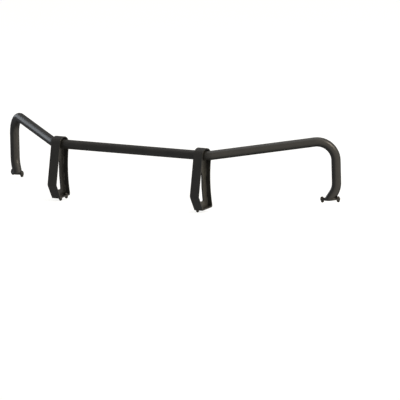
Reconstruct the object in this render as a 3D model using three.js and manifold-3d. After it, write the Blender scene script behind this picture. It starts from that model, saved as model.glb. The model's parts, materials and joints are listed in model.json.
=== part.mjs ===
// Front grille guard for a full-size pickup truck.
//
// One bent tube hoop crosses the front of the truck and comes down to the bumper at both ends. Two
// uprights made from flat bar loop over its centre run and stand on the bumper as well. Units are
// millimetres, +Z is up, -Y is the front of the truck, and left and right are as seen from in front.
// While the guard is being built its zero is the middle of the tube's centre run. At the end it is
// moved, so that its zero is the bottom centre of its bounding box.

import * as THREE from 'three';
import { mergeVertices } from 'three/addons/utils/BufferGeometryUtils.js';
import Module from 'manifold-3d';

const wasm = await Module();
wasm.setup();

// ---- Driving dimensions -------------------------------------------------------------------------

const WELD_GAP = 0.3; // clearance that stands for each welded or clamped contact

// Hoop tube: 1.75 in outside diameter, 0.120 in wall, bent on a 3.5 in die.
const TUBE_RADIUS = 22.225;
const TUBE_WALL = 3.05;
const BEND_RADIUS = 88.9;
const KINK_X = 443.1; // where the centre run turns back into the wings
const CORNER = { x: 939.4, y: 342.1, z: 66.8 }; // where a wing turns down into its leg
const LEG_BEND_Z = -165.7; // where a leg turns in towards its flange
const FLANGE_X = 914.8;
const FLANGE_Y = 323.5;

// Feet: all four stand on one plane, which rises towards the rear like the top of a bumper.
const FOOT_PITCH = THREE.MathUtils.degToRad(5.8);
const FOOT_PLANE_Z = -250.3; // height of that plane below the tube's centre run
const PLATE_THICKNESS = 6.35;

// Uprights: flat bar, 2 in by 3/16 in, bent in a half round over the tube.
const UPRIGHT_X = 415.4;
const STRAP_WIDTH = 50.8;
const STRAP_THICKNESS = 4.76;
const LOOP_RADIUS = 36.5; // outer face of the half round
const LOOP_TILT = THREE.MathUtils.degToRad(11); // the half round leans forward by this much
const REAR_ARC_RADIUS = 597; // outer face of the rear run, which bows forward
const FRONT_KINK_Z = -188.2; // where the front run turns back towards the foot
const FRONT_KINK_RADIUS = 16; // outer face of that bend
const FRONT_RAKE = THREE.MathUtils.degToRad(26.9); // slope of the front run below the bend
const WEB_THICKNESS = 6.35;
const WEB_TOP_Z = -9; // the web cradles the underside of the tube up to here
const WINDOW_FRONT_MARGIN = 24; // web left between the window and the front run of the strap
const WINDOW_REAR_MARGIN = 30.5;
const WINDOW_TOP_Z = -79;
const WINDOW_BOTTOM_Z = -215.5;
const WINDOW_CORNER = 5.5;

// Foot plates of the uprights, each with two bolts on the inboard side of its web.
const FOOT_FRONT_Y = -42.6;
const FOOT_REAR_Y = 36.2;
const FOOT_BOLT_X = 15.3;
const FOOT_BOLTS_Y = { front: -27.6, rear: 18.4 };

// Leg flanges: oval plates with two ears.
const FLANGE_HUB_RADIUS = 28.5;
const FLANGE_EAR_RADIUS = 10;
const FLANGE_BOLT_REACH = 38.6; // hub centre to bolt centre
const FLANGE_TURN = THREE.MathUtils.degToRad(20); // outer ear swung towards the rear

// Fasteners: 5/16 in hex bolts, flat washers and nuts.
const BOLT_RADIUS = 3.97;
const BOLT_LENGTH = 22.2;
const HEX_ACROSS_FLATS = 12.7;
const HEAD_HEIGHT = 5.4;
const NUT_HEIGHT = 6.75;
const WASHER_RADIUS = 8.75;
const WASHER_THICKNESS = 1.65;
const HOLE_RADIUS = 4.4;
const BUMPER_SKIN = 2.3; // room left for the bumper's sheet, which is clamped under each plate

// ---- Materials ----------------------------------------------------------------------------------

const powderCoat = new THREE.MeshStandardMaterial({ color: 0x2a2a28, roughness: 0.5, metalness: 0.0 });
const blackZinc = new THREE.MeshStandardMaterial({ color: 0x33342f, roughness: 0.4, metalness: 0.8 });

// ---- Solid helpers ------------------------------------------------------------------------------

function toSolid(geometry) {
  const bare = geometry.clone();
  bare.deleteAttribute('normal');
  bare.deleteAttribute('uv');
  const merged = mergeVertices(bare, 1e-4);
  return new wasm.Manifold(new wasm.Mesh({
    numProp: 3,
    vertProperties: merged.attributes.position.array,
    triVerts: Uint32Array.from(merged.index.array),
  }));
}

function toGeometry(solid) {
  const mesh = solid.getMesh();
  const geometry = new THREE.BufferGeometry();
  geometry.setAttribute('position', new THREE.BufferAttribute(mesh.vertProperties, 3));
  geometry.setIndex(new THREE.BufferAttribute(mesh.triVerts, 1));
  return geometry;
}

function named(name, geometry, material) {
  const mesh = new THREE.Mesh(geometry, material);
  mesh.name = name;
  return mesh;
}

// A box that fills everything below a foot plane raised by `lift`, measured square to the plane.
function groundBelow(lift) {
  const depth = 400;
  const box = new THREE.BoxGeometry(3000, 2000, depth);
  box.translate(0, 0, lift - depth / 2);
  box.rotateX(FOOT_PITCH);
  box.translate(0, 0, FOOT_PLANE_Z);
  return toSolid(box);
}

// Extrudes a side profile, drawn as (Y, Z), along X and centres it on X = 0.
function extrudeSideways(shape, width, curveSegments) {
  const geometry = new THREE.ExtrudeGeometry(shape, { depth: width, bevelEnabled: false, curveSegments });
  geometry.translate(0, 0, -width / 2);
  const profileToWorld = new THREE.Matrix4().makeBasis(
    new THREE.Vector3(0, 1, 0),
    new THREE.Vector3(0, 0, 1),
    new THREE.Vector3(1, 0, 0),
  );
  return geometry.applyMatrix4(profileToWorld);
}

// ---- Bent tube ----------------------------------------------------------------------------------

// A curve made of fixed stations, so that an extrusion gets one ring at each end of a straight run
// and an even spacing of rings around each bend.
class StationCurve extends THREE.Curve {
  constructor(stations) {
    super();
    this.stations = stations;
  }

  stationAt(u) {
    return this.stations[Math.round(u * (this.stations.length - 1))];
  }

  getPointAt(u, target = new THREE.Vector3()) {
    return target.copy(this.stationAt(u).point);
  }

  getTangentAt(u, target = new THREE.Vector3()) {
    return target.copy(this.stationAt(u).tangent);
  }
}

// Stations along straight runs between `corners`, with a bend of the given radius at each inner one.
function bentPath(corners, radius, stepAngle) {
  const directions = corners.slice(1).map((corner, i) => corner.clone().sub(corners[i]).normalize());
  const stations = [{ point: corners[0], tangent: directions[0] }];
  for (let i = 1; i < corners.length - 1; i += 1) {
    const incoming = directions[i - 1];
    const outgoing = directions[i];
    const turn = incoming.angleTo(outgoing);
    const axis = incoming.clone().cross(outgoing).normalize();
    const inward = axis.clone().cross(incoming);
    const start = corners[i].clone().addScaledVector(incoming, -radius * Math.tan(turn / 2));
    const centre = start.clone().addScaledVector(inward, radius);
    const steps = Math.ceil(turn / stepAngle);
    for (let k = 0; k <= steps; k += 1) {
      const angle = (turn * k) / steps;
      const spoke = inward.clone().applyAxisAngle(axis, angle);
      stations.push({
        point: centre.clone().addScaledVector(spoke, -radius),
        tangent: incoming.clone().applyAxisAngle(axis, angle),
      });
    }
  }
  stations.push({ point: corners.at(-1), tangent: directions.at(-1) });
  return stations;
}

function tubeSection(outerRadius, innerRadius) {
  const section = new THREE.Shape().absarc(0, 0, outerRadius, 0, 2 * Math.PI, false);
  section.holes.push(new THREE.Path().absarc(0, 0, innerRadius, 0, 2 * Math.PI, true));
  return section;
}

function footPlaneZ(y, lift) {
  return FOOT_PLANE_Z + y * Math.tan(FOOT_PITCH) + lift / Math.cos(FOOT_PITCH);
}

function makeHoop() {
  const legBend = new THREE.Vector3(CORNER.x, CORNER.y, LEG_BEND_Z);
  const legEnd = new THREE.Vector3(FLANGE_X, FLANGE_Y, footPlaneZ(FLANGE_Y, PLATE_THICKNESS));
  const beyondEnd = legEnd.clone().lerp(legBend, -0.5);
  const rightHalf = [
    new THREE.Vector3(KINK_X, 0, 0),
    new THREE.Vector3(CORNER.x, CORNER.y, CORNER.z),
    legBend,
    beyondEnd,
  ];
  const leftHalf = rightHalf.map((corner) => new THREE.Vector3(-corner.x, corner.y, corner.z));
  const corners = [...leftHalf.reverse(), ...rightHalf];
  const stations = bentPath(corners, BEND_RADIUS, THREE.MathUtils.degToRad(7.5));
  const geometry = new THREE.ExtrudeGeometry(tubeSection(TUBE_RADIUS, TUBE_RADIUS - TUBE_WALL), {
    steps: stations.length - 1,
    extrudePath: new StationCurve(stations),
    curveSegments: 12,
  });
  const trimmed = toSolid(geometry).subtract(groundBelow(PLATE_THICKNESS + WELD_GAP));
  return named('hoop_tube', toGeometry(trimmed), powderCoat);
}

// ---- Uprights -----------------------------------------------------------------------------------

// Corner of the front run's bend, for the face that lies `inset` inside the strap's outer face.
function frontKink(inset) {
  const outer = new THREE.Vector2(
    -LOOP_RADIUS / Math.cos(LOOP_TILT) + FRONT_KINK_Z * Math.tan(LOOP_TILT),
    FRONT_KINK_Z,
  );
  const upperNormal = new THREE.Vector2(Math.cos(LOOP_TILT), -Math.sin(LOOP_TILT));
  const lowerNormal = new THREE.Vector2(Math.cos(FRONT_RAKE), Math.sin(FRONT_RAKE));
  const bisector = upperNormal.clone().add(lowerNormal);
  return outer.addScaledVector(bisector, inset / (1 + upperNormal.dot(lowerNormal)));
}

// Point of the front run below its bend, at height z.
function frontRunPoint(inset, z) {
  const kink = frontKink(inset);
  return new THREE.Vector2(kink.x + (kink.y - z) * Math.tan(FRONT_RAKE), z);
}

const rearArcCentre = new THREE.Vector2(
  (LOOP_RADIUS + REAR_ARC_RADIUS) * Math.cos(LOOP_TILT),
  -(LOOP_RADIUS + REAR_ARC_RADIUS) * Math.sin(LOOP_TILT),
);

// Point of the rear run at height z.
function rearRunPoint(inset, z) {
  const radius = REAR_ARC_RADIUS + inset;
  const rise = z - rearArcCentre.y;
  return new THREE.Vector2(rearArcCentre.x - Math.sqrt(radius * radius - rise * rise), z);
}

// One face of the strap as a side profile, from its front end up over the loop to its rear end.
function strapFace(path, inset, endZ) {
  const kink = frontKink(inset);
  const kinkRadius = FRONT_KINK_RADIUS - inset;
  const kinkTurn = LOOP_TILT + FRONT_RAKE;
  const toKinkCentre = kinkRadius / Math.cos(kinkTurn / 2);
  const bisectorAngle = (FRONT_RAKE - LOOP_TILT) / 2;
  const kinkCentre = kink.clone().add(
    new THREE.Vector2(Math.cos(bisectorAngle), Math.sin(bisectorAngle)).multiplyScalar(toKinkCentre),
  );
  const loopRadius = LOOP_RADIUS - inset;
  const rearRadius = REAR_ARC_RADIUS + inset;
  const rearEnd = Math.PI - Math.asin((endZ - rearArcCentre.y) / rearRadius);
  path.moveTo(...frontRunPoint(inset, endZ));
  path.lineTo(
    kinkCentre.x - kinkRadius * Math.cos(FRONT_RAKE),
    kinkCentre.y - kinkRadius * Math.sin(FRONT_RAKE),
  );
  path.absarc(...kinkCentre, kinkRadius, Math.PI + FRONT_RAKE, Math.PI - LOOP_TILT, true);
  path.absarc(0, 0, loopRadius, Math.PI - LOOP_TILT, -LOOP_TILT, true);
  path.absarc(...rearArcCentre, rearRadius, Math.PI - LOOP_TILT, rearEnd, false);
  return path;
}

function facePoints(inset, endZ) {
  return strapFace(new THREE.Path(), inset, endZ).getPoints(10);
}

const profileEndZ = FOOT_PLANE_Z - 20; // profiles run past the foot plates and are trimmed to them

function makeStrap(side, sideName) {
  const outline = [
    ...facePoints(0, profileEndZ),
    ...facePoints(STRAP_THICKNESS, profileEndZ).reverse(),
  ];
  const bar = toSolid(extrudeSideways(new THREE.Shape(outline), STRAP_WIDTH, 1));
  const trimmed = bar.subtract(groundBelow(PLATE_THICKNESS + WELD_GAP));
  const strap = named(`${sideName}_upright_strap`, toGeometry(trimmed), powderCoat);
  strap.position.x = side * UPRIGHT_X;
  return strap;
}

// Rounds every corner of a closed outline.
function roundedOutline(corners, radius) {
  const path = new THREE.Path();
  corners.forEach((corner, i) => {
    const before = corners.at(i - 1);
    const after = corners[(i + 1) % corners.length];
    const toBefore = before.clone().sub(corner).normalize();
    const toAfter = after.clone().sub(corner).normalize();
    const halfAngle = Math.acos(toBefore.dot(toAfter)) / 2;
    const reach = radius / Math.tan(halfAngle);
    const middle = toBefore.clone().add(toAfter).normalize();
    const centre = corner.clone().addScaledVector(middle, radius / Math.sin(halfAngle));
    const start = corner.clone().addScaledVector(toBefore, reach).sub(centre);
    const end = corner.clone().addScaledVector(toAfter, reach).sub(centre);
    const clockwise = start.cross(end) < 0;
    path.absarc(...centre, radius, start.angle(), end.angle(), clockwise);
  });
  return path;
}

// The tall window in the web follows the front and the rear run of the strap at even margins.
function webWindow() {
  const frontInset = STRAP_THICKNESS + WINDOW_FRONT_MARGIN;
  const rearInset = STRAP_THICKNESS + WINDOW_REAR_MARGIN;
  const kink = frontKink(frontInset);
  const corners = [
    new THREE.Vector2(kink.x + (WINDOW_TOP_Z - kink.y) * Math.tan(LOOP_TILT), WINDOW_TOP_Z),
    kink,
    frontRunPoint(frontInset, WINDOW_BOTTOM_Z),
    rearRunPoint(rearInset, WINDOW_BOTTOM_Z),
    rearRunPoint(rearInset, (WINDOW_TOP_Z + WINDOW_BOTTOM_Z) / 2),
    rearRunPoint(rearInset, WINDOW_TOP_Z),
  ];
  const outline = roundedOutline(corners, WINDOW_CORNER).getPoints(5);
  return new THREE.Path(outline);
}

function makeWeb(side, sideName) {
  const shape = new THREE.Shape(facePoints(STRAP_THICKNESS + WELD_GAP, profileEndZ));
  shape.holes.push(webWindow());
  const blank = toSolid(extrudeSideways(shape, WEB_THICKNESS, 1));
  const tube = new THREE.CylinderGeometry(TUBE_RADIUS + WELD_GAP, TUBE_RADIUS + WELD_GAP, 100, 48);
  tube.rotateZ(Math.PI / 2);
  const above = new THREE.BoxGeometry(100, 200, 100);
  above.translate(0, 0, WEB_TOP_Z + 50);
  const trimmed = blank
    .subtract(toSolid(tube))
    .subtract(toSolid(above))
    .subtract(groundBelow(PLATE_THICKNESS + WELD_GAP));
  const web = named(`${sideName}_web_plate`, toGeometry(trimmed), powderCoat);
  web.position.x = side * UPRIGHT_X;
  return web;
}

// ---- Feet ---------------------------------------------------------------------------------------

function boltHole(x, y) {
  return new THREE.Path().absarc(x, y, HOLE_RADIUS, 0, 2 * Math.PI, true);
}

function makePlate(name, shape) {
  const geometry = new THREE.ExtrudeGeometry(shape, {
    depth: PLATE_THICKNESS,
    bevelEnabled: false,
    curveSegments: 12,
  });
  return named(name, geometry, powderCoat);
}

function hexPrism(height) {
  const prism = new THREE.CylinderGeometry(1, 1, height, 6);
  const cornerRadius = HEX_ACROSS_FLATS / Math.sqrt(3);
  prism.scale(cornerRadius, 1, cornerRadius);
  return prism.rotateX(Math.PI / 2);
}

// Flat ring standing on z = 0, for a washer or for cutting a bore.
function ring(outerRadius, innerRadius, height) {
  return new THREE.ExtrudeGeometry(tubeSection(outerRadius, innerRadius), {
    depth: height,
    bevelEnabled: false,
    curveSegments: 8,
  });
}

function boltGeometry() {
  const head = hexPrism(HEAD_HEIGHT).translate(0, 0, HEAD_HEIGHT / 2);
  const shank = new THREE.CylinderGeometry(BOLT_RADIUS, BOLT_RADIUS, BOLT_LENGTH + 1, 20);
  shank.rotateX(Math.PI / 2).translate(0, 0, (1 - BOLT_LENGTH) / 2);
  return toGeometry(toSolid(head).add(toSolid(shank)));
}

function nutGeometry() {
  const blank = hexPrism(NUT_HEIGHT).translate(0, 0, NUT_HEIGHT / 2);
  const bore = new THREE.CylinderGeometry(BOLT_RADIUS + WELD_GAP, BOLT_RADIUS + WELD_GAP, 20, 20);
  bore.rotateX(Math.PI / 2);
  return toGeometry(toSolid(blank).subtract(toSolid(bore)));
}

const fastenerShapes = {
  bolt: boltGeometry(),
  washer: ring(WASHER_RADIUS, BOLT_RADIUS + 0.5, WASHER_THICKNESS),
  nut: nutGeometry(),
};

// Bolt, washer above the plate, and washer and nut below the bumper's sheet, stacked along the
// plate's normal.
function makeFastener(prefix, x, y) {
  const stack = new THREE.Group();
  const lowerWasherZ = -BUMPER_SKIN - WASHER_THICKNESS;
  const upperWasherZ = PLATE_THICKNESS + WELD_GAP;
  const headZ = upperWasherZ + WASHER_THICKNESS + WELD_GAP;
  const pieces = [
    ['bolt', fastenerShapes.bolt, headZ],
    ['upper_washer', fastenerShapes.washer, upperWasherZ],
    ['lower_washer', fastenerShapes.washer, lowerWasherZ],
    ['nut', fastenerShapes.nut, lowerWasherZ - WELD_GAP - NUT_HEIGHT],
  ];
  for (const [piece, geometry, z] of pieces) {
    const mesh = named(`${prefix}_${piece}`, geometry, blackZinc);
    mesh.position.z = z;
    stack.add(mesh);
  }
  stack.position.set(x, y, 0);
  return stack;
}

// A group whose z = 0 is the foot plane, with its origin on that plane at the given place.
function footGroup(x, y) {
  const group = new THREE.Group();
  group.position.set(x, y, footPlaneZ(y, 0));
  group.rotation.x = FOOT_PITCH;
  return group;
}

function makeUprightFoot(side, sideName) {
  const halfWidth = STRAP_WIDTH / 2;
  const slant = 1 / Math.cos(FOOT_PITCH);
  const shape = new THREE.Shape(
    roundedOutline(
      [
        new THREE.Vector2(-halfWidth, FOOT_FRONT_Y * slant),
        new THREE.Vector2(halfWidth, FOOT_FRONT_Y * slant),
        new THREE.Vector2(halfWidth, FOOT_REAR_Y * slant),
        new THREE.Vector2(-halfWidth, FOOT_REAR_Y * slant),
      ],
      3,
    ).getPoints(4),
  );
  const group = footGroup(side * UPRIGHT_X, 0);
  const boltX = -side * FOOT_BOLT_X;
  for (const [place, y] of Object.entries(FOOT_BOLTS_Y)) {
    shape.holes.push(boltHole(boltX, y * slant));
    group.add(makeFastener(`${sideName}_foot_${place}`, boltX, y * slant));
  }
  group.add(makePlate(`${sideName}_foot_plate`, shape));
  return group;
}

// Oval flange: a round hub joined to two smaller ears by straight tangent edges.
function makeLegFoot(side, sideName) {
  const turn = side * FLANGE_TURN;
  const tangentAngle = Math.acos((FLANGE_HUB_RADIUS - FLANGE_EAR_RADIUS) / FLANGE_BOLT_REACH);
  const shape = new THREE.Shape();
  const group = footGroup(side * FLANGE_X, FLANGE_Y);
  for (const ear of [1, -1]) {
    const angle = turn + (ear > 0 ? 0 : Math.PI);
    const x = FLANGE_BOLT_REACH * Math.cos(angle);
    const y = FLANGE_BOLT_REACH * Math.sin(angle);
    shape.absarc(x, y, FLANGE_EAR_RADIUS, angle - tangentAngle, angle + tangentAngle, false);
    shape.absarc(0, 0, FLANGE_HUB_RADIUS, angle + tangentAngle, angle + Math.PI - tangentAngle, false);
  }
  for (const [place, reach] of [['outer', side], ['inner', -side]]) {
    const x = reach * FLANGE_BOLT_REACH * Math.cos(turn);
    const y = reach * FLANGE_BOLT_REACH * Math.sin(turn);
    shape.holes.push(boltHole(x, y));
    group.add(makeFastener(`${sideName}_leg_${place}`, x, y));
  }
  group.add(makePlate(`${sideName}_leg_flange`, shape));
  return group;
}

// ---- Assembly -----------------------------------------------------------------------------------

const guard = new THREE.Group();
guard.add(makeHoop());
for (const [side, sideName] of [[-1, 'left'], [1, 'right']]) {
  guard.add(makeStrap(side, sideName));
  guard.add(makeWeb(side, sideName));
  guard.add(makeUprightFoot(side, sideName));
  guard.add(makeLegFoot(side, sideName));
}

const bounds = new THREE.Box3().setFromObject(guard, true);
guard.position.set(0, -(bounds.min.y + bounds.max.y) / 2, -bounds.min.z);
guard.updateMatrixWorld(true);

export default guard;
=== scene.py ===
"""Front grille guard for a full-size pickup truck: visual model, studio and camera.

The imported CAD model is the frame. The hoop, the uprights and all fasteners are modelled again here
with their real bends, edges and threads; the flat plates are the CAD plates with broken edges; and
the weld beads that the CAD solids leave out are added. Metres, +Z up, -Y is the front of the truck,
left and right as seen from in front.
"""

import json
import math

import bpy
from mathutils import Matrix, Vector


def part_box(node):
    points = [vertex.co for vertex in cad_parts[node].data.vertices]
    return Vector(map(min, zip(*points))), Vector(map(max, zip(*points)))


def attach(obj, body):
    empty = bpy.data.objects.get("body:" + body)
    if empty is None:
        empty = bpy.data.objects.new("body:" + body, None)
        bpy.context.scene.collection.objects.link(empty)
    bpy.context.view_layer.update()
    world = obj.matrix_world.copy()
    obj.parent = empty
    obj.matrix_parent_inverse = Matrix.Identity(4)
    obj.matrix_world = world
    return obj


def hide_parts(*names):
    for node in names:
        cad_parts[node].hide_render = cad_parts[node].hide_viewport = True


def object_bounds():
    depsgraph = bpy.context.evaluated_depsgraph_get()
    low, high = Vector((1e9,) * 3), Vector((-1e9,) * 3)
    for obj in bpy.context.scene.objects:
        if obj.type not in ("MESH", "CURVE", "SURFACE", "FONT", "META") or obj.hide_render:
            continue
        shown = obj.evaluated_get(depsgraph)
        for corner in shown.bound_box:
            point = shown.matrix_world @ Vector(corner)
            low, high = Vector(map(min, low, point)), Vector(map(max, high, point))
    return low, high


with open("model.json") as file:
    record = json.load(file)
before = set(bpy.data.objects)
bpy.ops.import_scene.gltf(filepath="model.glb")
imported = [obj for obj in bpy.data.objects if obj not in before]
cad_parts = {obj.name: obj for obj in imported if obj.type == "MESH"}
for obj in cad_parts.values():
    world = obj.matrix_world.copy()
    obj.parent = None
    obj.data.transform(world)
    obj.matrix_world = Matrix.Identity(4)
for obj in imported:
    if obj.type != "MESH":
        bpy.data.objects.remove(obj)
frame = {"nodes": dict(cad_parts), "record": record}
CAD_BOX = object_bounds()
bpy.ops.object.select_all(action="DESELECT")

MM = 0.001

# ---- Driving dimensions, the same as the CAD source's ---------------------------------------------

FACET_GAP = 0.1 * MM  # keeps the rounder skins inside the CAD's flat facets
TUBE_RADIUS = 22.225 * MM - FACET_GAP
BEND_RADIUS = 88.9 * MM
KINK_X = 443.1 * MM
CORNER = Vector((939.4, 342.1, 66.8)) * MM
LEG_BEND_Z = -165.7 * MM
FLANGE_X = 914.8 * MM
FLANGE_Y = 323.5 * MM
FOOT_PITCH = math.radians(5.8)
TUBE_ABOVE_FEET = 250.3 * MM  # centre run of the tube above the foot plane
PLATE_THICKNESS = 6.35 * MM
UPRIGHT_X = 415.4 * MM
STRAP_WIDTH = 50.8 * MM
STRAP_THICKNESS = 4.76 * MM
LOOP_RADIUS = 36.5 * MM - FACET_GAP
LOOP_TILT = math.radians(11)
REAR_ARC_RADIUS = 597 * MM
FRONT_KINK_Z = -188.2 * MM
FRONT_KINK_RADIUS = 16 * MM
FRONT_RAKE = math.radians(26.9)
WEB_THICKNESS = 6.35 * MM
WEB_TOP_Z = -9 * MM
BOLT_RADIUS = 3.97 * MM
BOLT_LENGTH = 22.2 * MM
THREAD_PITCH = 1.411 * MM  # 18 threads per inch
HEX_ACROSS_FLATS = 12.7 * MM
HEAD_HEIGHT = 5.4 * MM
NUT_HEIGHT = 6.75 * MM
WASHER_RADIUS = 8.75 * MM
WASHER_BORE = 4.47 * MM
WASHER_THICKNESS = 1.65 * MM

# ---- Finishing sizes ------------------------------------------------------------------------------

PLATE_EDGES = {"web_plate": 0.5 * MM, "foot_plate": 0.6 * MM, "leg_flange": 0.8 * MM}
STRAP_EDGE = 0.7 * MM
HEAD_EDGE = 0.15 * MM
NUT_EDGE = 0.12 * MM
WASHER_FACE = 0.35 * MM  # height of the round bearing face under a bolt head
CHAMFER_FACE = 0.95  # round end faces of heads and nuts, as a share of the width across flats
CONE_SIDES = 72
COUNTERSINK = 0.7 * MM
BEAD_RADIUS = 2.4 * MM
RIPPLE = 1.7 * MM  # each pulse of the welder leaves one ripple
BEAD_STANDOFF = 0.2 * MM  # how far the middle of a bead round the tube stands off the tube
STITCHES = ((-62, -98), (-140, -176), (-200, -232))  # heights in mm from the tube's centre run
TUBE_SIDES = 72
BEND_STEP = math.radians(3)
MERGE_DISTANCE = 0.005 * MM
SEAM_DISTANCE = 0.01 * MM
SHARP_ANGLE = math.radians(50)  # edges sharper than this are broken
FINE_SHARP_ANGLE = math.radians(25)  # the same on the small hexagons

# ---- Places from the frame ------------------------------------------------------------------------

MOUNTS = {mount["name"]: mount for mount in frame["record"]["mounts"]}
FOOT_FACE = Vector(MOUNTS["left_foot_face"]["pos_m"])
TUBE_CENTRE = Vector((0, FOOT_FACE.y, FOOT_FACE.z + TUBE_ABOVE_FEET))
FOOT_UP = Vector((0, -math.sin(FOOT_PITCH), math.cos(FOOT_PITCH)))


def on_plates(x, y):
    """Point of the plane that the tops of all foot plates share, at this X and Y."""
    base = FOOT_FACE + FOOT_UP * PLATE_THICKNESS
    return Vector((x, y, base.z + (y - base.y) * math.tan(FOOT_PITCH)))


def box_centre(node):
    low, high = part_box(node)
    return (Vector(low) + Vector(high)) / 2


# ---- Modelling helpers ----------------------------------------------------------------------------


def edit(piece):
    bpy.ops.object.select_all(action="DESELECT")
    bpy.context.view_layer.objects.active = piece
    piece.select_set(True)
    bpy.ops.object.mode_set(mode="EDIT")


def leave_edit():
    bpy.ops.object.mode_set(mode="OBJECT")


def set_transform():
    bpy.ops.object.transform_apply(location=True, rotation=True, scale=True)


def push(offset):
    """Extrudes the selected ring or face along an offset."""
    bpy.ops.mesh.extrude_region_move(TRANSFORM_OT_translate={"value": offset})


def turn(centre, axis, angle, steps):
    """Sweeps the selected ring or face round an axis by a right-handed angle."""
    bpy.ops.mesh.spin(steps=steps, angle=-angle, center=centre, axis=axis)


def select_by(piece, kind, wanted):
    """Selects only the vertices, edges or faces of a piece for which wanted(element) is true."""
    bpy.ops.mesh.select_all(action="DESELECT")
    leave_edit()
    for element in getattr(piece.data, kind):
        element.select = wanted(element)
    bpy.ops.object.mode_set(mode="EDIT")


def trim(point, outward):
    """Cuts off all that lies beyond a plane and closes the cut."""
    bpy.ops.mesh.select_all(action="SELECT")
    bpy.ops.mesh.bisect(plane_co=point, plane_no=outward, use_fill=True, clear_outer=True)


def clean_up():
    """Merges doubles and turns every face outwards."""
    bpy.ops.mesh.select_all(action="SELECT")
    bpy.ops.mesh.remove_doubles(threshold=MERGE_DISTANCE)
    bpy.ops.mesh.normals_make_consistent(inside=False)


def modify(piece, kind, **settings):
    bpy.context.view_layer.objects.active = piece
    modifier = piece.modifiers.new(kind.title(), kind)
    for name, value in settings.items():
        setattr(modifier, name, value)
    bpy.ops.object.modifier_apply(modifier=modifier.name)


def carve(piece, operation, tool):
    """Boolean with a tool that is then used up. The corners, edges and faces that it leaves are
    numbered by their distance from an odd point, so that later steps meet them in a fixed order."""
    modify(piece, "BOOLEAN", operation=operation, object=tool, solver="EXACT")
    bpy.data.objects.remove(tool)
    bpy.context.scene.cursor.location = Vector((13.7, 29.1, 17.3)) * MM
    edit(piece)
    bpy.ops.mesh.select_all(action="SELECT")
    bpy.ops.mesh.sort_elements(type="CURSOR_DISTANCE", elements={"VERT", "EDGE", "FACE"})
    leave_edit()


def break_edges(piece, width, segments, sharper_than):
    """Rounds over every edge that is sharper than an angle."""
    modify(
        piece, "BEVEL", width=width, segments=segments, limit_method="ANGLE",
        angle_limit=sharper_than,
    )


def smooth(piece, angle=35):
    """Smooth shading over bends and broken edges, while large flats stay flat."""
    bpy.ops.object.select_all(action="DESELECT")
    piece.select_set(True)
    bpy.context.view_layer.objects.active = piece
    bpy.ops.object.shade_smooth_by_angle(angle=math.radians(angle))
    modify(piece, "WEIGHTED_NORMAL", weight=100, keep_sharp=True)


def new_copy(piece, name, matrix=None):
    """Copy of a finished piece with a mesh of its own, moved in the mesh."""
    made = bpy.data.objects.new(name, piece.data.copy())
    bpy.context.scene.collection.objects.link(made)
    if matrix is not None:
        made.data.transform(matrix)
    return made


def mirror_copy(piece, name):
    """The same piece on the other side of the guard, turned the right side out again."""
    made = new_copy(piece, name, Matrix.Scale(-1, 4, (1, 0, 0)))
    edit(made)
    clean_up()
    leave_edit()
    return made


def join(pieces, name):
    bpy.ops.object.select_all(action="DESELECT")
    for piece in pieces:
        piece.select_set(True)
    bpy.context.view_layer.objects.active = pieces[0]
    bpy.ops.object.join()
    pieces[0].name = name
    return pieces[0]


# ---- Materials ------------------------------------------------------------------------------------


def colour(hex_code):
    """Linear RGBA from an sRGB hex code."""
    channels = [int(hex_code[i:i + 2], 16) / 255 for i in (1, 3, 5)]
    linear = [c / 12.92 if c <= 0.04045 else ((c + 0.055) / 1.055) ** 2.4 for c in channels]
    return (*linear, 1.0)


def add_node(tree, kind, settings=None, inputs=None, links=None):
    """Adds a node, sets its properties and inputs, and links outputs of other nodes into it."""
    node = tree.nodes.new(kind)
    for name, value in (settings or {}).items():
        setattr(node, name, value)
    for name, value in (inputs or {}).items():
        node.inputs[name].default_value = value
    for name, source in (links or {}).items():
        tree.links.new(source, node.inputs[name])
    return node


def new_material(name):
    material = bpy.data.materials.new(name)
    material.use_nodes = True
    material.node_tree.nodes.clear()
    return material, material.node_tree


def noise(tree, place, grain, detail=2.0, roughness=0.5):
    """Noise whose blobs are about as large as the grain, in metres."""
    inputs = {"Scale": 1 / grain, "Detail": detail, "Roughness": roughness}
    return add_node(tree, "ShaderNodeTexNoise", None, inputs, {"Vector": place}).outputs["Fac"]


def spread(tree, value, low, high, to_low=0.0, to_high=1.0):
    """Stretches the range low..high of a value to to_low..to_high."""
    inputs = {"From Min": low, "From Max": high, "To Min": to_low, "To Max": to_high}
    return add_node(tree, "ShaderNodeMapRange", None, inputs, {"Value": value}).outputs["Result"]


def blend_colours(tree, factor, first, second):
    """Mixes two colours, each a hex code or another node's output."""
    settings = {"data_type": "RGBA"}
    inputs = {}
    links = {"Factor": factor}
    for socket, value in ((6, first), (7, second)):
        if isinstance(value, str):
            inputs[socket] = colour(value)
        else:
            links[socket] = value
    return add_node(tree, "ShaderNodeMix", settings, inputs, links).outputs[2]


def finish_material(tree, inputs, links):
    shader = add_node(tree, "ShaderNodeBsdfPrincipled", None, inputs, links)
    add_node(tree, "ShaderNodeOutputMaterial", None, None, {"Surface": shader.outputs["BSDF"]})


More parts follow.
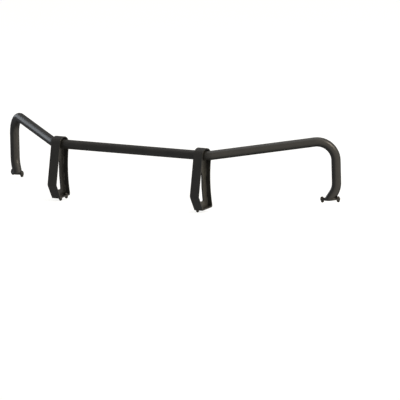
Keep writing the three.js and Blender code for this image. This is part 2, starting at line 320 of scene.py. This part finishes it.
def satin_powder_coat():
    """Satin black polyester powder coat on mild steel, sprayed dry and baked.

    The powder melts into a fine orange peel about 1.5 mm across over slower waves, so highlights
    are wide, soft and a little broken. Film build and handling vary the gloss in larger patches.
    Convex edges carry a painted highlight that also stands for slight polish, and faces that look
    up are mixed a touch towards a light warm grey.
    """
    material, tree = new_material("satin_black_powder_coat")
    place = add_node(tree, "ShaderNodeTexCoord").outputs["Object"]
    surface = add_node(tree, "ShaderNodeNewGeometry").outputs
    peel = noise(tree, place, 1.5 * MM, detail=1.0)
    waves = noise(tree, place, 9 * MM, detail=1.0)
    patches = noise(tree, place, 60 * MM, detail=3.0, roughness=0.6)
    specks = noise(tree, place, 0.7 * MM, detail=1.0)
    film = blend_colours(tree, spread(tree, patches, 0.35, 0.65), "#1c1c1b", "#232220")
    speckled = blend_colours(tree, spread(tree, specks, 0.56, 0.75, 0, 0.5), film, "#32312e")
    # painted edge highlight, also standing for slight polish: convex edges, found by pointiness, are
    # mixed towards a lighter grey
    edge = spread(tree, surface["Pointiness"], 0.53, 0.62, 0, 0.45)
    edge_highlight_and_polish = blend_colours(tree, edge, speckled, "#45443f")
    # faces that look up are mixed a touch towards a light warm grey, more the more they face up
    facing = add_node(tree, "ShaderNodeSeparateXYZ", None, None, {"Vector": surface["Normal"]})
    up_facing_mix = spread(tree, facing.outputs["Z"], 0.3, 1.0, 0, 0.05)
    up_facing_tinted = blend_colours(tree, up_facing_mix, edge_highlight_and_polish, "#6b675e")
    gloss = spread(tree, patches, 0.3, 0.7, 0.33, 0.40)
    relief = add_node(
        tree, "ShaderNodeBump", None, {"Strength": 0.45, "Distance": 0.08 * MM}, {"Height": peel}
    ).outputs["Normal"]
    rolling = add_node(
        tree, "ShaderNodeBump", None, {"Strength": 0.1, "Distance": 0.12 * MM},
        {"Height": waves, "Normal": relief},
    ).outputs["Normal"]
    finish_material(
        tree,
        {"Metallic": 0.0, "IOR": 1.45},
        {"Base Color": up_facing_tinted, "Roughness": gloss, "Normal": rolling},
    )
    return material


def black_zinc():
    """Black zinc plated steel: a thin chromated coat that still shines like metal, a little cloudy,
    with a faint bronze cast in places and fine tool marks from forging and rolling."""
    material, tree = new_material("black_zinc_plated_steel")
    place = add_node(tree, "ShaderNodeTexCoord").outputs["Object"]
    surface = add_node(tree, "ShaderNodeNewGeometry").outputs
    clouds = noise(tree, place, 6 * MM, detail=3.0, roughness=0.6)
    grain = noise(tree, place, 0.35 * MM, detail=1.0)
    coat = blend_colours(tree, spread(tree, clouds, 0.35, 0.65), "#2b2c2d", "#38342e")
    edge = spread(tree, surface["Pointiness"], 0.53, 0.62, 0, 0.6)
    worn = blend_colours(tree, edge, coat, "#77736b")
    gloss = spread(tree, clouds, 0.3, 0.7, 0.30, 0.42)
    relief = add_node(
        tree, "ShaderNodeBump", None, {"Strength": 0.3, "Distance": 0.02 * MM}, {"Height": grain}
    ).outputs["Normal"]
    finish_material(
        tree, {"Metallic": 0.9}, {"Base Color": worn, "Roughness": gloss, "Normal": relief}
    )
    return material


def studio_paper():
    """Matt studio paper that glows evenly, as over a light table, with a very faint mottle.

    The glow brings it just to white all over: it has no darker corners, and its shadows are faint.
    """
    material, tree = new_material("matt_white_studio_paper")
    place = add_node(tree, "ShaderNodeTexCoord").outputs["Object"]
    mottle = noise(tree, place, 400 * MM, detail=2.0)
    paper = blend_colours(tree, mottle, "#868685", "#8a8a89")
    finish_material(
        tree,
        {
            "Roughness": 0.9,
            "Specular IOR Level": 0.1,
            "Emission Color": colour("#fafaf9"),
            "Emission Strength": 0.88,
        },
        {"Base Color": paper},
    )
    return material


POWDER_COAT = satin_powder_coat()
BLACK_ZINC = black_zinc()


def dress(piece, slot, *stands_for):
    """Gives a finished piece its finish and its body, and hides the CAD nodes that it stands for."""
    piece.data.materials.clear()
    piece.data.materials.append(POWDER_COAT if slot == "powder_coat" else BLACK_ZINC)
    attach(piece, "root")
    if stands_for:
        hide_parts(*stands_for)


# ---- Hoop tube ------------------------------------------------------------------------------------


def bend_through(corners, radius):
    """Sweeps the selected ring from the first corner to the last, bending it at those between."""
    here = corners[0]
    for before, corner, after in zip(corners, corners[1:], corners[2:]):
        incoming = (corner - before).normalized()
        outgoing = (after - corner).normalized()
        angle = incoming.angle(outgoing)
        axis = incoming.cross(outgoing).normalized()
        start = corner - incoming * radius * math.tan(angle / 2)
        push(start - here)
        turn(start + axis.cross(incoming) * radius, axis, angle, math.ceil(angle / BEND_STEP))
        here = corner + outgoing * radius * math.tan(angle / 2)
    push(corners[-1] - here)


def make_hoop():
    """One half is swept from the middle of the centre run to its flange, then mirrored."""
    leg_end = on_plates(FLANGE_X, TUBE_CENTRE.y + FLANGE_Y)
    leg_bend = TUBE_CENTRE + Vector((CORNER.x, CORNER.y, LEG_BEND_Z))
    corners = [
        TUBE_CENTRE,
        TUBE_CENTRE + Vector((KINK_X, 0, 0)),
        TUBE_CENTRE + CORNER,
        leg_bend,
        leg_end + (leg_end - leg_bend) * 0.3,
    ]
    bpy.ops.mesh.primitive_circle_add(
        vertices=TUBE_SIDES, radius=TUBE_RADIUS, location=TUBE_CENTRE, rotation=(0, math.pi / 2, 0)
    )
    hoop = bpy.context.object
    hoop.name = "hoop_tube_skin"
    set_transform()
    edit(hoop)
    bpy.ops.mesh.select_all(action="SELECT")
    bend_through(corners, BEND_RADIUS)
    trim(leg_end, -FOOT_UP)
    leave_edit()
    modify(hoop, "MIRROR", use_axis=(True, False, False), merge_threshold=SEAM_DISTANCE)
    edit(hoop)
    clean_up()
    leave_edit()
    smooth(hoop)
    return hoop


# ---- Upright straps -------------------------------------------------------------------------------

LOOP_UP = Vector((0, math.sin(LOOP_TILT), math.cos(LOOP_TILT)))  # front run above its bend
RAKE_UP = Vector((0, -math.sin(FRONT_RAKE), math.cos(FRONT_RAKE)))  # and below it
RAKE_IN = Vector((0, math.cos(FRONT_RAKE), math.sin(FRONT_RAKE)))
LOOP_IN = Vector((0, math.cos(LOOP_TILT), -math.sin(LOOP_TILT)))
FRONT_KINK = TUBE_CENTRE + Vector(
    (0, -LOOP_RADIUS / math.cos(LOOP_TILT) + FRONT_KINK_Z * math.tan(LOOP_TILT), FRONT_KINK_Z)
)
REAR_ARC_CENTRE = TUBE_CENTRE + LOOP_IN * (LOOP_RADIUS + REAR_ARC_RADIUS)


def front_face(depth, z):
    """Point of the front run, this deep inside its outer face, at this height."""
    up, inward = (LOOP_UP, LOOP_IN) if z > FRONT_KINK.z else (RAKE_UP, RAKE_IN)
    start = FRONT_KINK + inward * depth
    return start + up * (z - start.z) / up.z


def rear_face(depth, z):
    """Point of the rear run, this deep inside its outer face, at this height."""
    rise = z - REAR_ARC_CENTRE.z
    reach = math.sqrt((REAR_ARC_RADIUS + depth) ** 2 - rise**2)
    return Vector((0, REAR_ARC_CENTRE.y - reach, z))


def make_strap():
    """Left strap, swept as a flat bar from its front foot over the loop to its rear foot."""
    middle = STRAP_THICKNESS / 2
    sideways = Vector((-UPRIGHT_X, 0, 0))
    bend = FRONT_KINK_RADIUS - middle
    bend_angle = LOOP_TILT + FRONT_RAKE
    to_bend_centre = (LOOP_IN + RAKE_IN).normalized() * FRONT_KINK_RADIUS / math.cos(bend_angle / 2)
    bend_centre = FRONT_KINK + sideways + to_bend_centre
    bend_start = bend_centre - RAKE_IN * bend
    bend_end = bend_centre - LOOP_IN * bend
    loop_centre = TUBE_CENTRE + sideways
    loop_start = loop_centre - LOOP_IN * (LOOP_RADIUS - middle)
    foot_start = bend_start - RAKE_UP * 90 * MM  # both runs end below the plate and are trimmed
    bpy.ops.mesh.primitive_plane_add(size=1, location=foot_start, rotation=(FRONT_RAKE, 0, 0))
    strap = bpy.context.object
    strap.name = "left_upright_strap_bar"
    strap.scale = (STRAP_WIDTH, STRAP_THICKNESS, 1)
    set_transform()
    edit(strap)
    bpy.ops.mesh.select_all(action="SELECT")
    push(bend_start - foot_start)
    turn(bend_centre, (-1, 0, 0), bend_angle, 10)
    push(loop_start - bend_end)
    turn(loop_centre, (-1, 0, 0), math.pi, 48)
    turn(REAR_ARC_CENTRE + sideways, (1, 0, 0), math.radians(25), 20)
    trim(on_plates(0, TUBE_CENTRE.y), -FOOT_UP)
    clean_up()
    leave_edit()
    break_edges(strap, STRAP_EDGE, 3, SHARP_ANGLE)
    smooth(strap)
    return strap


# ---- Flat plates ----------------------------------------------------------------------------------


def plate_skin(node, name, width):
    """The CAD plate as one clean skin, with its sharp edges broken as by a deburring wheel."""
    plate = new_copy(frame["nodes"][node], name)
    edit(plate)
    clean_up()
    bpy.ops.mesh.dissolve_limited(angle_limit=math.radians(0.5))
    leave_edit()
    break_edges(plate, width, 3, SHARP_ANGLE)
    smooth(plate)
    return plate


# ---- Fasteners ------------------------------------------------------------------------------------


def lathe(name, profile, sides=32):
    """Turned solid from (radius, height) pairs. It is closed by caps, or into a ring where the
    profile ends where it starts."""
    first_radius, first_height = profile[0]
    bpy.ops.mesh.primitive_circle_add(
        vertices=sides, radius=first_radius, location=(0, 0, first_height), fill_type="NOTHING"
    )
    solid = bpy.context.object
    solid.name = name
    set_transform()
    is_ring = profile[0] == profile[-1]
    edit(solid)
    bpy.ops.mesh.select_all(action="SELECT")
    if not is_ring:
        bpy.ops.mesh.edge_face_add()
    for (radius, height), (next_radius, next_height) in zip(profile, profile[1:]):
        push((0, 0, next_height - height))
        grow = next_radius / radius
        bpy.ops.transform.resize(value=(grow, grow, 1), center_override=(0, 0, next_height))
    clean_up()
    leave_edit()
    return solid


def hex_block(name, height, chamfer_both):
    """Hexagon whose corners are cut back by a 30 degree cone at the top, and below if asked."""
    corner = HEX_ACROSS_FLATS / math.sqrt(3)
    bpy.ops.mesh.primitive_cylinder_add(
        vertices=6, radius=corner, depth=height, location=(0, 0, height / 2)
    )
    block = bpy.context.object
    block.name = name
    set_transform()
    flat_top = HEX_ACROSS_FLATS / 2 * CHAMFER_FACE
    wide = corner * 1.05
    cut = (wide - flat_top) * math.tan(math.radians(30))
    foot = [(flat_top, 0), (wide, cut)] if chamfer_both else [(wide, 0)]
    cone = lathe("chamfer_cone", [*foot, (wide, height - cut), (flat_top, height)], CONE_SIDES)
    if chamfer_both:
        cone.data.transform(Matrix.Rotation(math.pi / CONE_SIDES, 4, "Z"))  # no edge on a corner
    carve(block, "INTERSECT", cone)
    return block


def thread_profile(low, high):
    """Ridges of a 60 degree thread from low to high, on a shank that ends in a chamfer below."""
    root = BOLT_RADIUS - 0.75 * MM
    crest = BOLT_RADIUS - 0.05 * MM
    points = [(root - 0.4 * MM, low), (root, low + 0.5 * MM)]
    height = low + 0.9 * MM
    while height + THREAD_PITCH < high:
        points += [
            (crest, height + 0.42 * THREAD_PITCH),
            (crest, height + 0.56 * THREAD_PITCH),
            (root, height + 0.98 * THREAD_PITCH),
        ]
        height += THREAD_PITCH
    return [*points, (BOLT_RADIUS, height + 0.4 * MM), (BOLT_RADIUS, high)]


def make_bolt():
    """Hex bolt standing head up, with the bearing face of its head at zero."""
    head = hex_block("bolt_pattern", HEAD_HEIGHT, chamfer_both=False)
    head.data.transform(Matrix.Translation((0, 0, WASHER_FACE)))
    head.data.transform(Matrix.Scale((HEAD_HEIGHT - WASHER_FACE) / HEAD_HEIGHT, 4, (0, 0, 1)))
    break_edges(head, HEAD_EDGE, 2, FINE_SHARP_ANGLE)
    collar = HEX_ACROSS_FLATS / 2 * CHAMFER_FACE
    profile = [
        *thread_profile(-BOLT_LENGTH, -3 * MM),
        (BOLT_RADIUS, 0),
        (collar, 0),
        (collar, WASHER_FACE * 2),
    ]
    shank = lathe("shank", profile)
    bolt = join([head, shank], "bolt_pattern")
    smooth(bolt, 30)
    return bolt


def make_nut():
    """Hex nut standing on zero, with a countersunk bore."""
    nut = hex_block("nut_pattern", NUT_HEIGHT, chamfer_both=True)
    bore = lathe(
        "bore",
        [
            (BOLT_RADIUS + COUNTERSINK, -0.2 * MM),
            (BOLT_RADIUS, 0.5 * MM),
            (BOLT_RADIUS, NUT_HEIGHT - 0.5 * MM),
            (BOLT_RADIUS + COUNTERSINK, NUT_HEIGHT + 0.2 * MM),
        ],
    )
    carve(nut, "DIFFERENCE", bore)
    break_edges(nut, NUT_EDGE, 2, FINE_SHARP_ANGLE)
    smooth(nut, 30)
    return nut


def make_washer():
    """Flat washer standing on zero: stamped, so its upper rim is rolled and its lower rim sharp."""
    roll = 0.45 * MM
    top = WASHER_THICKNESS
    washer = lathe(
        "washer_pattern",
        [
            (WASHER_BORE, 0),
            (WASHER_RADIUS - 0.08 * MM, 0),
            (WASHER_RADIUS, 0.08 * MM),
            (WASHER_RADIUS, top - roll),
            (WASHER_RADIUS - 0.3 * roll, top - 0.3 * roll),
            (WASHER_RADIUS - roll, top),
            (WASHER_BORE + 0.5 * roll, top),
            (WASHER_BORE, top - 0.5 * roll),
            (WASHER_BORE, 0),
        ],
        48,
    )
    smooth(washer)
    return washer


def place_fasteners(patterns):
    """One copy of each pattern at every CAD fastener, turned to the slope of the feet."""
    slope = Matrix.Rotation(FOOT_PITCH, 4, "X")
    half_height = {
        "bolt": (HEAD_HEIGHT - BOLT_LENGTH) / 2,
        "washer": WASHER_THICKNESS / 2,
        "nut": NUT_HEIGHT / 2,
    }
    for node in sorted(frame["nodes"]):
        kind = node.rsplit("_", 1)[-1]
        if kind not in patterns:
            continue
        middle = Matrix.Translation(Vector((0, 0, -half_height[kind])))
        where = Matrix.Translation(box_centre(node)) @ slope @ middle
        piece = new_copy(patterns[kind], f"{node}_detail", where)
        dress(piece, "fastener", node)
    for pattern in patterns.values():
        bpy.data.objects.remove(pattern)


# ---- Weld beads -----------------------------------------------------------------------------------


def ripple_rod(length):
    """Round open-ended bead along +X from zero, made of low overlapping ripples."""
    count = max(3, round(length / RIPPLE))
    step = length / count
    bpy.ops.mesh.primitive_circle_add(
        vertices=12, radius=BEAD_RADIUS * 0.92, rotation=(0, math.pi / 2, 0), fill_type="NOTHING"
    )
    rod = bpy.context.object
    set_transform()
    edit(rod)
    bpy.ops.mesh.select_all(action="SELECT")
    for reach, swell in ((0.25, 0.98 / 0.92), (0.3, 1 / 0.98), (0.25, 0.97), (0.2, 0.92 / 0.97)):
        push((reach * step, 0, 0))
        bpy.ops.transform.resize(value=(1, swell, swell), center_override=(0, 0, 0))
    leave_edit()
    modify(
        rod, "ARRAY", count=count, use_relative_offset=False, use_constant_offset=True,
        constant_offset_displace=(step, 0, 0), use_merge_vertices=True, merge_threshold=SEAM_DISTANCE,
    )
    return rod


def bead_along(path_object, length, closed):
    """Bends a ripple rod along a path made of edges, and closes its ends."""
    bpy.ops.object.select_all(action="DESELECT")
    bpy.context.view_layer.objects.active = path_object
    path_object.select_set(True)
    bpy.ops.object.convert(target="CURVE")
    path = bpy.context.object
    bpy.ops.object.select_all(action="DESELECT")
    rod = ripple_rod(length)
    modify(rod, "CURVE", object=path, deform_axis="POS_X")
    edit(rod)
    if not closed:
        bpy.ops.mesh.select_all(action="DESELECT")
        bpy.ops.mesh.select_non_manifold()
        bpy.ops.mesh.edge_face_add()
    clean_up()
    leave_edit()
    bpy.data.objects.remove(path)
    return rod


def straight_bead(start, end):
    """Short fillet from start to end, tapered at both ends where the arc starts and stops."""
    run = end - start
    rod = ripple_rod(run.length)
    edit(rod)
    for reach in (0, run.length):
        select_by(rod, "vertices", lambda v, reach=reach: abs(v.co.x - reach) < SEAM_DISTANCE)
        outward = -0.6 * BEAD_RADIUS if reach == 0 else 0.6 * BEAD_RADIUS
        push((outward, 0, 0))
        bpy.ops.transform.resize(value=(1, 0.6, 0.6), center_override=(reach + outward, 0, 0))
        push((outward * 0.5, 0, 0))
        bpy.ops.transform.resize(value=(1, 0.3, 0.3), center_override=(reach + outward * 1.5, 0, 0))
        bpy.ops.mesh.edge_face_add()
    clean_up()
    leave_edit()
    aim = Vector((1, 0, 0)).rotation_difference(run).to_matrix().to_4x4()
    rod.data.transform(Matrix.Translation(start) @ aim)
    return rod


def leg_ring():
    """Bead all round the left leg where it stands on its flange: an ellipse, as the leg leans."""
    foot = on_plates(-FLANGE_X, TUBE_CENTRE.y + FLANGE_Y)
    bend = TUBE_CENTRE + Vector((-CORNER.x, CORNER.y, LEG_BEND_Z))
    lean = (bend - foot).normalized()
    across = lean.cross(FOOT_UP).normalized()
    along = FOOT_UP.cross(across)
    radius = TUBE_RADIUS + BEAD_STANDOFF
    stretch = 1 / lean.dot(FOOT_UP)
    bpy.ops.mesh.primitive_circle_add(vertices=96, radius=radius)
    path = bpy.context.object
    path.data.transform(Matrix.Scale(stretch, 4, (1, 0, 0)))
    axes = Matrix((along, across, FOOT_UP)).transposed().to_4x4()
    path.data.transform(Matrix.Translation(foot) @ axes)
    length = math.pi * radius * (1 + stretch)
    bead = bead_along(path, length, closed=True)
    bead.name = "left_leg_weld"
    return bead


def cradle_bead(x):
    """Bead in the corner between one face of a web and the underside of the tube."""
    radius = TUBE_RADIUS + BEAD_STANDOFF
    bpy.ops.mesh.primitive_circle_add(
        vertices=144, radius=radius, rotation=(0, math.pi / 2, 0), location=(x, *TUBE_CENTRE.yz)
    )
    path = bpy.context.object
    set_transform()
    edit(path)
    top = TUBE_CENTRE.z + WEB_TOP_Z
    select_by(path, "vertices", lambda v: v.co.z > top)
    bpy.ops.mesh.delete(type="VERT")
    leave_edit()
    angle = math.pi - 2 * math.asin(-WEB_TOP_Z / radius)
    return bead_along(path, radius * angle, closed=False)


def upright_welds():
    """All beads of the left upright: web to tube and strap, and web and strap to the foot plate."""
    plate = on_plates(0, TUBE_CENTRE.y)
    beads = []
    for sign in (-1, 1):
        corner_x = Vector((sign * WEB_THICKNESS / 2 - UPRIGHT_X, 0, 0))
        beads.append(cradle_bead(corner_x.x))
        feet = [face(STRAP_THICKNESS, plate.z) for face in (front_face, rear_face)]
        front, rear = (on_plates(0, foot.y) for foot in feet)
        along = (rear - front).normalized() * 7 * MM  # room for the beads across the plate
        beads.append(straight_bead(corner_x + front + along, corner_x + rear - along))
        for foot in (front, rear):
            near = Vector((sign * 3.5 * MM, 0, 0))  # clear of the bead along the web
            far = Vector((sign * (STRAP_WIDTH - WEB_THICKNESS) / 2 - sign * 3 * MM, 0, 0))
            beads.append(straight_bead(corner_x + foot + near, corner_x + foot + far))
        for top, bottom in STITCHES:
            for face in (front_face, rear_face):
                ends = [face(STRAP_THICKNESS, TUBE_CENTRE.z + z * MM) for z in (top, bottom)]
                beads.append(straight_bead(corner_x + ends[0], corner_x + ends[1]))
    return join(beads, "left_upright_weld")


# ---- Build ----------------------------------------------------------------------------------------

hoop = make_hoop()
dress(hoop, "powder_coat", "hoop_tube")

to_right_upright = Matrix.Translation((2 * UPRIGHT_X, 0, 0))
left_strap = make_strap()
right_strap = new_copy(left_strap, "right_upright_strap_bar", to_right_upright)
dress(left_strap, "powder_coat", "left_upright_strap")
dress(right_strap, "powder_coat", "right_upright_strap")

for side in ("left", "right"):
    for plate, edge in PLATE_EDGES.items():
        node = f"{side}_{plate}"
        dress(plate_skin(node, f"{node}_skin", edge), "powder_coat", node)

left_ring = leg_ring()
left_welds = upright_welds()
for weld in (
    left_ring,
    mirror_copy(left_ring, "right_leg_weld"),
    left_welds,
    new_copy(left_welds, "right_upright_weld", to_right_upright),
):
    smooth(weld, 60)
    dress(weld, "powder_coat")

place_fasteners({"bolt": make_bolt(), "washer": make_washer(), "nut": make_nut()})

# ---- Studio ---------------------------------------------------------------------------------------

bpy.ops.mesh.primitive_plane_add(size=60, location=(0, 0, CAD_BOX[0][2]))
floor = bpy.context.object
floor.name = "studio_floor"
set_transform()
floor.data.materials.append(studio_paper())
for ray in ("visible_glossy", "visible_diffuse", "visible_shadow"):
    setattr(floor, ray, False)  # the paper takes shadows, but isn't mirrored in the black coat


def softbox(name, place, width, height, radiance, hex_code):
    """Flat area light that faces the guard. The camera doesn't see it, but reflections do."""
    light = bpy.data.lights.new(name, "AREA")
    light.shape = "RECTANGLE"
    light.size = width
    light.size_y = height
    light.energy = radiance * math.pi * width * height
    light.color = colour(hex_code)[:3]
    lamp = bpy.data.objects.new(name, light)
    bpy.context.scene.collection.objects.link(lamp)
    lamp.visible_camera = False
    lamp.location = place
    lamp.rotation_mode = "QUATERNION"
    lamp.rotation_quaternion = (Vector((0, 0, 0.2)) - Vector(place)).to_track_quat("-Z", "Y")


softbox("overhead_softbox", (0, 0.5, 5), 5, 5, 1.2, "#ffffff")
softbox("left_window", (-4.8, 1.0, 1.3), 3.0, 1.9, 2.1, "#dfe7ef")
softbox("rear_right_key", (4.15, 0.4, 3.1), 1.4, 1.4, 20.0, "#fff0da")


def studio_room():
    """A dim grey room: broad warm light on its right-hand wall, darker behind left and below."""
    world = bpy.data.worlds.new("studio_room")
    world.use_nodes = True
    tree = world.node_tree
    tree.nodes.clear()
    direction = add_node(tree, "ShaderNodeTexCoord").outputs["Generated"]
    walls = "#8a8b8d"
    for middle, start, full, tone in (
        ((-0.75, 0.66, 0.0), 0.55, 0.9, "#58595c"),
        ((0.0, 0.6, -0.8), 0.42, 0.85, "#58595c"),
        ((0.98, -0.17, 0.1), 0.1, 0.62, "#fff7ea"),
    ):
        facing = add_node(
            tree, "ShaderNodeVectorMath", {"operation": "DOT_PRODUCT"}, {1: middle}, {0: direction}
        ).outputs["Value"]
        walls = blend_colours(tree, spread(tree, facing, start, full), walls, tone)
    background = add_node(
        tree, "ShaderNodeBackground", None, {"Strength": 1.3}, {"Color": walls}
    )
    add_node(tree, "ShaderNodeOutputWorld", None, None, {"Surface": background.outputs[0]})
    return world


bpy.context.scene.world = studio_room()
bpy.context.scene.view_settings.view_transform = "Standard"

# ---- Camera ---------------------------------------------------------------------------------------

# A very long lens from far away, because the product view has no perspective.
VIEW_TURN = math.radians(36.391)  # towards the guard's right of straight ahead
VIEW_RISE = math.radians(8.479)
VIEW_ROLL = math.radians(1.36)
VIEW_DISTANCE = 83.4918
AIM_RIGHT = 0.32408  # the aim point beside and below the middle of the tube
AIM_UP = -0.23667

level_right = Vector((math.cos(VIEW_TURN), math.sin(VIEW_TURN), 0))
towards_camera = Vector(
    (
        math.sin(VIEW_TURN) * math.cos(VIEW_RISE),
        -math.cos(VIEW_TURN) * math.cos(VIEW_RISE),
        math.sin(VIEW_RISE),
    )
)
level_up = towards_camera.cross(level_right)
camera_right = level_right * math.cos(VIEW_ROLL) - level_up * math.sin(VIEW_ROLL)
camera_up = level_up * math.cos(VIEW_ROLL) + level_right * math.sin(VIEW_ROLL)
camera_data = bpy.data.cameras.new("camera")
camera_data.lens = 1600
camera_data.sensor_width = 36
camera_data.clip_start = 1
camera_data.clip_end = 200
camera = bpy.data.objects.new("camera", camera_data)
bpy.context.scene.collection.objects.link(camera)
bpy.context.scene.camera = camera
camera.location = (
    TUBE_CENTRE + camera_right * AIM_RIGHT + camera_up * AIM_UP + towards_camera * VIEW_DISTANCE
)
camera.rotation_mode = "QUATERNION"
camera.rotation_quaternion = (
    Matrix((camera_right, camera_up, towards_camera)).transposed().to_quaternion()
)
